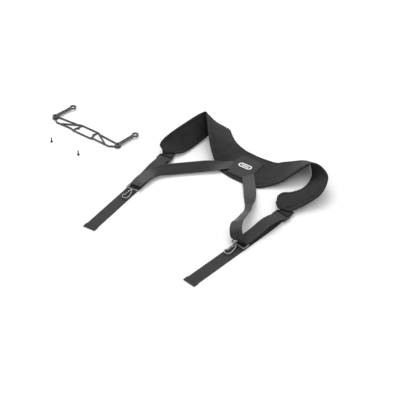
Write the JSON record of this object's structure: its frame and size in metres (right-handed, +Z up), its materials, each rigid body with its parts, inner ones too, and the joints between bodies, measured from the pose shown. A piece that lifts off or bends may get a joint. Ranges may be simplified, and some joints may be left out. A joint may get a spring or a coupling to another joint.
{
  "type": "chest harness for a hand-held controller",
  "caption": "Padded shoulder yoke with front webbing, side straps, buckles and swivel snap hooks, and a folding lattice bracket with mounting screws, laid out flat.",
  "frame": {"origin": "on the table under the middle of the back pad, at the centre of its flat underside", "axes": "+Z up from the table; +X across the wearer's back to the right; +Y towards the neck edge"},
  "size_m": [0.9522, 0.6578, 0.0743],
  "materials": {
    "cover_fabric": "matt woven",
    "foam": "closed-cell foam",
    "binding": "grosgrain tape",
    "patch": "matt",
    "mark": "printed",
    "satin": "satin woven",
    "webbing": "herringbone woven",
    "buckle": "moulded",
    "wire": "satin",
    "truss_metal": "anodised",
    "arm_metal": "anodised",
    "dark_steel": "black oxide"
  },
  "bodies": {
    "harness": {"yoke_foam": "foam", "yoke_cover": "cover_fabric", "yoke_lining": "cover_fabric", "edge_binding": "binding", "centre_patch": "patch", "patch_mark": "mark", "left_side_strap": "satin", "left_front_strap": "webbing", "left_tail_run": "webbing", "left_pad_loop": "webbing", "right_side_strap": "satin", "right_front_strap": "webbing", "right_tail_run": "webbing", "right_pad_loop": "webbing"},
    "left_ring_body": {"left_ring": "wire"},
    "left_eye_body": {"left_swivel_eye": "wire"},
    "left_hook_body": {"left_hook": "wire", "left_gate_pin": "wire"},
    "left_gate_body": {"left_gate": "wire"},
    "left_buckle_body": {"left_buckle": "buckle", "left_strap_bight": "webbing"},
    "left_tail_body": {"left_free_tail": "webbing", "left_tail_hem": "webbing"},
    "right_ring_body": {"right_ring": "wire"},
    "right_eye_body": {"right_swivel_eye": "wire"},
    "right_hook_body": {"right_hook": "wire", "right_gate_pin": "wire"},
    "right_gate_body": {"right_gate": "wire"},
    "right_buckle_body": {"right_buckle": "buckle", "right_strap_bight": "webbing"},
    "right_tail_body": {"right_free_tail": "webbing", "right_tail_hem": "webbing"},
    "bracket": {"bracket_truss": "truss_metal", "left_pivot_screw": "dark_steel", "right_pivot_screw": "dark_steel"},
    "left_arm": {"left_bracket_arm": "arm_metal"},
    "right_arm": {"right_bracket_arm": "arm_metal"},
    "left_screw": {"left_mounting_screw": "dark_steel"},
    "right_screw": {"right_mounting_screw": "dark_steel"}
  },
  "joints": [
    {"name": "left_ring_flip", "type": "hinge", "parent": "harness", "child": "left_ring_body", "pos_m": [-0.193, -0.273, 0.0066], "axis": [-0.9899, -0.1414, 0], "range_deg": [0, 100]},
    {"name": "left_hook_lift", "type": "hinge", "parent": "left_ring_body", "child": "left_eye_body", "pos_m": [-0.18995, -0.29438, 0.0066], "axis": [-0.9899, -0.1414, 0], "range_deg": [0, 80]},
    {"name": "left_hook_swivel", "type": "hinge", "parent": "left_eye_body", "child": "left_hook_body", "pos_m": [-0.18881, -0.3023, 0.0066], "axis": [-0.1414, 0.9899, 0], "range_deg": [-14, 14]},
    {"name": "left_gate_open", "type": "hinge", "parent": "left_hook_body", "child": "left_gate_body", "pos_m": [-0.19122, -0.30951, 0.0066], "axis": [0, 0, 1], "range_deg": [0, 22], "stiffness_Nm_per_rad": 0.02, "springref_deg": -17.19},
    {"name": "left_buckle_tilt", "type": "hinge", "parent": "harness", "child": "left_buckle_body", "pos_m": [-0.21749, -0.10161, 0.008], "axis": [-0.9899, -0.1414, 0], "range_deg": [0, 30]},
    {"name": "left_tail_fold", "type": "hinge", "parent": "harness", "child": "left_tail_body", "pos_m": [-0.18298, -0.39773, 0.0016], "axis": [-0.9936, -0.1131, 0], "range_deg": [0, 140]},
    {"name": "right_ring_flip", "type": "hinge", "parent": "harness", "child": "right_ring_body", "pos_m": [0.207, -0.29, 0.0066], "axis": [-0.9909, 0.1348, 0], "range_deg": [0, 8]},
    {"name": "right_hook_lift", "type": "hinge", "parent": "right_ring_body", "child": "right_eye_body", "pos_m": [0.20409, -0.3114, 0.0066], "axis": [-0.9909, 0.1348, 0], "range_deg": [0, 60]},
    {"name": "right_hook_swivel", "type": "hinge", "parent": "right_eye_body", "child": "right_hook_body", "pos_m": [0.20301, -0.31933, 0.0066], "axis": [0.1348, 0.9909, 0], "range_deg": [-14, 14]},
    {"name": "right_gate_open", "type": "hinge", "parent": "right_hook_body", "child": "right_gate_body", "pos_m": [0.19872, -0.32561, 0.0066], "axis": [0, 0, 1], "range_deg": [0, 22], "stiffness_Nm_per_rad": 0.02, "springref_deg": -17.19},
    {"name": "right_buckle_tilt", "type": "hinge", "parent": "harness", "child": "right_buckle_body", "pos_m": [0.22992, -0.1216, 0.008], "axis": [-0.9909, 0.1348, 0], "range_deg": [0, 30]},
    {"name": "right_tail_fold", "type": "hinge", "parent": "harness", "child": "right_tail_body", "pos_m": [0.19865, -0.41488, 0.0016], "axis": [-0.9947, 0.103, 0], "range_deg": [0, 140]},
    {"name": "bracket_lift", "type": "slide", "parent": "harness", "child": "bracket", "axis": [0, 0, 1], "range_m": [0, 0.12]},
    {"name": "left_arm_fold", "type": "hinge", "parent": "bracket", "child": "left_arm", "pos_m": [-0.659, -0.147, 0.0053], "axis": [0, 0, -1], "range_deg": [-14, 86]},
    {"name": "right_arm_fold", "type": "hinge", "parent": "bracket", "child": "right_arm", "pos_m": [-0.381, -0.147, 0.0053], "axis": [0, 0, 1], "range_deg": [-6, 94]},
    {"name": "left_screw_lift", "type": "slide", "parent": "harness", "child": "left_screw", "axis": [0, 0, 1], "range_m": [0, 0.08]},
    {"name": "right_screw_lift", "type": "slide", "parent": "harness", "child": "right_screw", "axis": [0, 0, 1], "range_m": [0, 0.08]}
  ]
}
